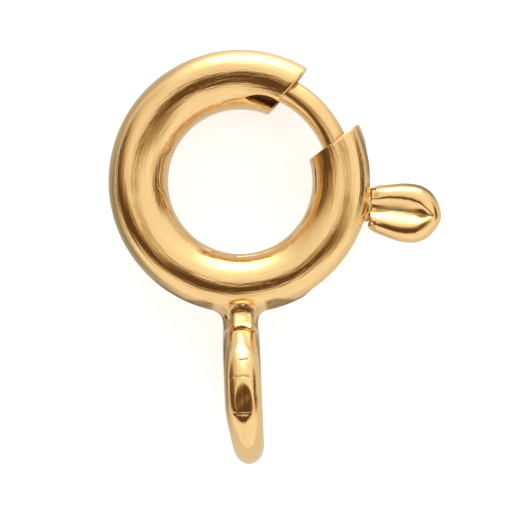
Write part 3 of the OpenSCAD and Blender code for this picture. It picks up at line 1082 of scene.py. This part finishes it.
def bean_section(u, wide):
    """Points round the bean at a distance from its neck, where it is this wide to each side."""
    wide = max(wide, 1e-4)
    crest = min(np.interp(u, crests[:, 0], crests[:, 1]), wide * 0.7)
    p, q = places, np.abs(places)
    v = np.where(q <= 1, p * crest, np.sign(p) * (crest + (q - 1) * (wide - crest)))
    v = v + 0.035 * np.maximum(1 - q, 0) * smooth_step(1 - abs(u / 0.75 - 1))
    plain = np.sqrt(np.maximum(1 - (v / wide) ** 2, 0))
    grooved = smooth_step((u + 0.1) / 0.14) * smooth_step((1.46 - u) / 0.4)
    height = plain + (relief(p) - plain) * grooved
    neck = 0.88 + 0.12 * math.sin(math.pi / 2 * min(u / 0.32, 1))
    tip = math.sqrt(max(1 - max(u - tip_from, 0) ** 2 / tip_over**2, 0))
    top = np.stack([np.full_like(v, u), v, height * neck * tip * bean_t / 2], 1)
    return np.concatenate([top, top[-2:0:-1] * [1, 1, -1]])


hoops = [bean_section(u, wide) for u, wide in stations]
bean_points = np.concatenate(hoops)
bean_faces = bands(len(hoops), len(hoops[0])) + caps(len(hoops), len(hoops[0]))

# %% [markdown]
# The file never reached the bean's neck, so the casting's skin is left there: small lumps and pits. A
# brown line of polish lies along the groove. The neck is fitted to the round of the ring.

# %% The rough neck, and the bean in its place
bean_r, bean_turn = 3.06, math.radians(4)  # where the neck starts, and how far the bean is turned upwards
groove_place = np.tile(np.concatenate([places, places[-2:0:-1]]), len(hoops))
far = bean_points[:, 0]
neck_skin = smooth_step((0.26 - far) / 0.16) * smooth_step((np.abs(groove_place + 0.15) - 0.8) / 0.3)
lumps = ripple(bean_points, 2.2)
bean_points = bean_points * (1 - 0.035 * (neck_skin * np.abs(lumps))[:, None] * [0, 1, 1])
in_groove = np.exp(-((groove_place / (0.3 + 0.12 * ripple(bean_points, 1.2))) ** 2))
in_groove = in_groove * smooth_step((far - 0.05) / 0.1) * smooth_step((1.5 - far) / 0.14)
bean_grime = np.clip(0.8 * in_groove + neck_skin * np.clip(1.2 * np.abs(lumps) - 0.6, 0, 0.4), 0, 1)
cant = stem_at + bean_turn
base = bean_r * np.array([math.cos(stem_at), math.sin(stem_at), 0])
along, aside = np.array([math.cos(cant), math.sin(cant), 0]), np.array([-math.sin(cant), math.cos(cant), 0])
u, v, w = bean_points.T[:, :, None]
hug = 0.03 + v * math.sin(bean_turn) + v**2 / 6
u = u - hug * smooth_step(1 - u / 0.35)
bean = new_piece("trigger_bean", base + u * along + v * aside + w * [0, 0, 1], bean_faces, bean_grime)

# %% [markdown]
# The stem carries the bean through the slot into the tongue. It is a small bar with round ends.

# %% The stem
bar_r, bar_straight, bar_count = 0.285, 0.045, 48
levels = [  # distance from the ring's axis, and the bar's size there
    (2.645, 0.93), (2.66, 1.0), (2.95, 1.0), (3.02, 1.0), (3.06, 0.8), (3.1, 0.5)]
turn = np.linspace(0, 2 * math.pi, bar_count + 1)[:-1, None]
rise = np.array([math.cos(stem_at), math.sin(stem_at), 0])
side = np.array([-math.sin(stem_at), math.cos(stem_at), 0])
bar = (bar_straight * np.sign(np.cos(turn)) + bar_r * np.cos(turn)) * side + bar_r * np.sin(turn) * [0, 0, 1]
stem_points = np.concatenate([r * rise + size * bar for r, size in levels])
stem_faces = bands(len(levels), bar_count) + caps(len(levels), bar_count)
stem = new_piece("trigger_stem", stem_points, stem_faces, np.full(len(stem_points), 0.3))

# %% [markdown]
# ## Dressing the pieces
#
# Each piece takes its gold, rides on the body that it belongs to and stands for its solid. The coil
# already has its steel, and is stretched between the ring and the sliding tongue.

# %% Materials, bodies and solids
for piece, finish, body, node in (
        (ring_tube, tube_gold, "ring", "ring_body"), (end_loop, loop_gold, "ring", "ring_body"),
        (tongue, wire_gold, "slider", "tongue"), (bean, bean_gold, "slider", "trigger"),
        (stem, bean_gold, "slider", "trigger")):
    piece.data.materials.clear()
    piece.data.materials.append(finish)
    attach(piece, body)
    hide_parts(node)
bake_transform(coil)
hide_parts("spring")
print("pieces:", [p.name for p in (ring_tube, end_loop, tongue, bean, stem, coil)])

# %% [markdown]
# ## The floor
#
# The floor has two tasks. The camera sees a plain pale card. The gold mirrors it too, from below, and
# there a real table is lit unevenly: bright towards the window, and dark on the left and right and
# just under the clasp. So rays from the camera find the pale card, and mirrored rays find soft patches
# of painted light and painted shadow in the floor's glow.

# %% A pale floor
pale, cool_pale, unlit_card = (0.90, 0.94, 1.0, 1), (0.88, 0.92, 0.98, 1), (0.3, 0.3, 0.3, 1)
card_glow = (0.58, 0.59, 0.6, 1)
painted_floor_light = [  # x, y, width and height in millimetres, and how much lighter
    (1, 15, 9, 11, 2.4), (-9, -1, 8, 9, -0.45), (-4.5, 6, 3, 4, -0.2), (4.4, 2.8, 2.6, 1.8, -0.45),
    (-2.8, -1.9, 1.4, 1.3, -0.35), (1.2, -1.9, 1.4, 1.3, -0.35)]


def floor_finish():
    material, net, coords = new_finish("pale_floor")
    seen = net.node("ShaderNodeLightPath", out="Is Camera Ray")
    tint = net.mix(seen, unlit_card, net.mix(net.noise(coords, 300.0, 2.0), cool_pale, pale))
    lit = 0.5
    # painted light and painted shadow for mirrored rays: bright towards the window, dark beside and under
    # the clasp
    for x, y, wide, high, amount in painted_floor_light:
        place, size = (x * MM, y * MM, 0), (wide * MM, high * MM, MM)
        lit = lit + amount * net.soft_spot(coords, place, (0, 0, 0), size, core=0.3)
    glow = net.node("ShaderNodeVectorMath", {"operation": "SCALE"}, {0: (1.0, 0.99, 0.97), "Scale": lit})
    net.surface({
        "Base Color": tint, "Roughness": 0.7, "Emission Color": net.mix(seen, glow, card_glow),
        "Emission Strength": 1.0})
    return material


floor_mesh = bpy.data.meshes.new("floor")
floor_mesh.from_pydata([(-3, -3, 0), (3, -3, 0), (3, 3, 0), (-3, 3, 0)], [], [(0, 1, 2, 3)])
floor_mesh.materials.append(floor_finish())
shown("floor", floor_mesh)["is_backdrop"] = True
print("the floor has", len(painted_floor_light), "soft patches")

# %% [markdown]
# ## The room
#
# Gold shows what it mirrors, so the room is part of the object. A round tube mirrors every direction,
# and that lets the photograph tell the room: a wide bright window towards its top, brown shade on the
# left that sweeps down below the middle, the dark front of the camera, small dark things on the right,
# and pale walls everywhere else. The directions are spread out on a disc, with the camera at its
# middle and the horizon at a distance of 1. Soft spots on that disc add up to a tone, and a ramp gives
# each tone its colour. Area lamps would light the room too, but soft dark shapes need something dark.

# %% Directions as places on a disc
world = bpy.data.worlds.new("studio")
bpy.context.scene.world = world
world.use_nodes = True
room = Net(world.node_tree)
room.tree.nodes.clear()
way = room.node("ShaderNodeTexCoord", out="Generated")
ring_way = room.placed(way, (0, 0, 0), ring_matrix.to_euler(), (1, 1, 1))
dx, dy, dz = room.split(ring_way)
sidewards = (dx * dx + dy * dy).sqrt().maximum(0.001)
spread = dz.arccosine() / (sidewards * (math.pi / 2))
disc = room.join(dx * spread, dy * spread)

# %% The room that the gold mirrors
room_spots = [  # x, y, width, height, turn in degrees, and how much lighter
    (0.05, 1.1, 0.75, 0.95, 0, 0.72),  # the window
    (-0.5, 0.4, 0.7, 0.5, -40, -0.1), (-0.9, 0.05, 0.75, 0.5, -25, -0.57),
    (-0.46, -0.27, 0.57, 0.32, -8, -0.6), (-1.05, 0.5, 0.6, 0.5, -30, -0.4),  # shade on the left
    (-0.06, -0.3, 0.4, 0.27, 8, -0.4), (0.03, -0.16, 0.28, 0.27, 0, -0.52),
    (0.27, -0.17, 0.48, 0.23, -20, -0.36),  # the camera's dark front
    (1.08, 0.1, 0.34, 0.48, 0, -0.55), (1.3, 0.45, 0.5, 0.5, 0, -0.12),
    (0.89, 0.1, 0.28, 0.55, 0, -0.5)]  # dark things on the right
room_colours = [
    (0.0, (0.035, 0.02, 0.009, 1)), (0.2, (0.095, 0.062, 0.033, 1)), (0.4, (0.195, 0.168, 0.118, 1)),
    (0.55, (0.285, 0.276, 0.26, 1)), (0.7, (0.34, 0.36, 0.295, 1)), (0.85, (0.53, 0.59, 0.56, 1)),
    (1.0, (1, 1, 0.97, 1))]
wall_tone, wall_mottle, brightness = 0.47, 0.18, 3.4
tone = wall_tone + wall_mottle * room.noise(disc, 2.6, 2.0)
for x, y, wide, high, turned, amount in room_spots:
    turn = (0, 0, math.radians(turned))
    tone = tone + room.soft_spot(disc, (x, y, 0), turn, (wide, high, 1), core=0.0) * amount
shade = room.node("ShaderNodeValToRGB", {"stops": room_colours}, {0: tone})
bright = room.node("ShaderNodeVectorMath", {"operation": "SCALE"}, {0: shade, "Scale": brightness})
seen = room.node("ShaderNodeLightPath", out="Is Camera Ray")
light = room.node("ShaderNodeBackground", None, {0: room.mix(seen, bright, (1, 1, 1, 1)), 1: 1.0})
room.node("ShaderNodeOutputWorld", None, {"Surface": light})
bpy.context.scene.view_settings.view_transform = "Standard"
print("the room:", len(room.tree.nodes), "nodes")

# %% Check the size and finish
low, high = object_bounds()
print("visual box", [round((b - a) * 1000, 2) for a, b in zip(low, high)], "mm")
